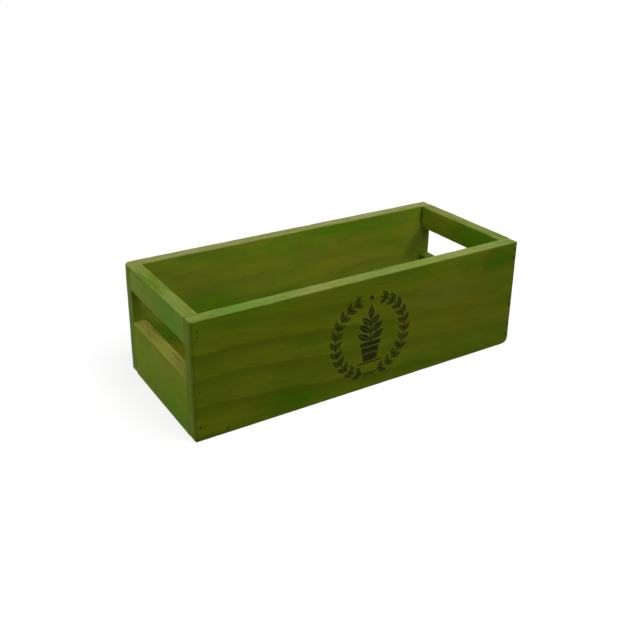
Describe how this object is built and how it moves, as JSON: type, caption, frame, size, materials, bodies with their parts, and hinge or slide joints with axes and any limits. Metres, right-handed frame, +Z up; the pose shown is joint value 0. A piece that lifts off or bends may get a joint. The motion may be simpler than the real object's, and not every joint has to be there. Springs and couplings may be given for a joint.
{
  "type": "wooden organizer crate",
  "caption": "Open-topped oblong crate of nailed boards, stained green, with a hand slot under a handle rail at each end, for storing and carrying small goods.",
  "frame": {"origin": "on the table, under the middle of the crate", "axes": "+X along the crate towards its right end as seen from the front, +Y towards the back board, +Z up"},
  "size_m": [0.34, 0.141, 0.108],
  "materials": {
    "stained_wood": "green stain, rubbed back on the edges, satin",
    "base_wood": "green stain, matt",
    "nail_steel": "dulled dark by the stain"
  },
  "bodies": {
    "root": {"front_board": "stained_wood", "back_board": "stained_wood", "left_handle_rail": "stained_wood", "right_handle_rail": "stained_wood", "left_end_board": "stained_wood", "right_end_board": "stained_wood", "base_panel": "base_wood", "front_left_rail_nail_upper": "nail_steel", "front_left_rail_nail_lower": "nail_steel", "front_left_board_nail_upper": "nail_steel", "front_left_board_nail_lower": "nail_steel", "front_left_base_nail": "nail_steel", "front_right_rail_nail_upper": "nail_steel", "front_right_rail_nail_lower": "nail_steel", "front_right_board_nail_upper": "nail_steel", "front_right_board_nail_lower": "nail_steel", "front_right_base_nail": "nail_steel", "back_left_rail_nail_upper": "nail_steel", "back_left_rail_nail_lower": "nail_steel", "back_left_board_nail_upper": "nail_steel", "back_left_board_nail_lower": "nail_steel", "back_left_base_nail": "nail_steel", "back_right_rail_nail_upper": "nail_steel", "back_right_rail_nail_lower": "nail_steel", "back_right_board_nail_upper": "nail_steel", "back_right_board_nail_lower": "nail_steel", "back_right_base_nail": "nail_steel"}
  },
  "joints": []
}
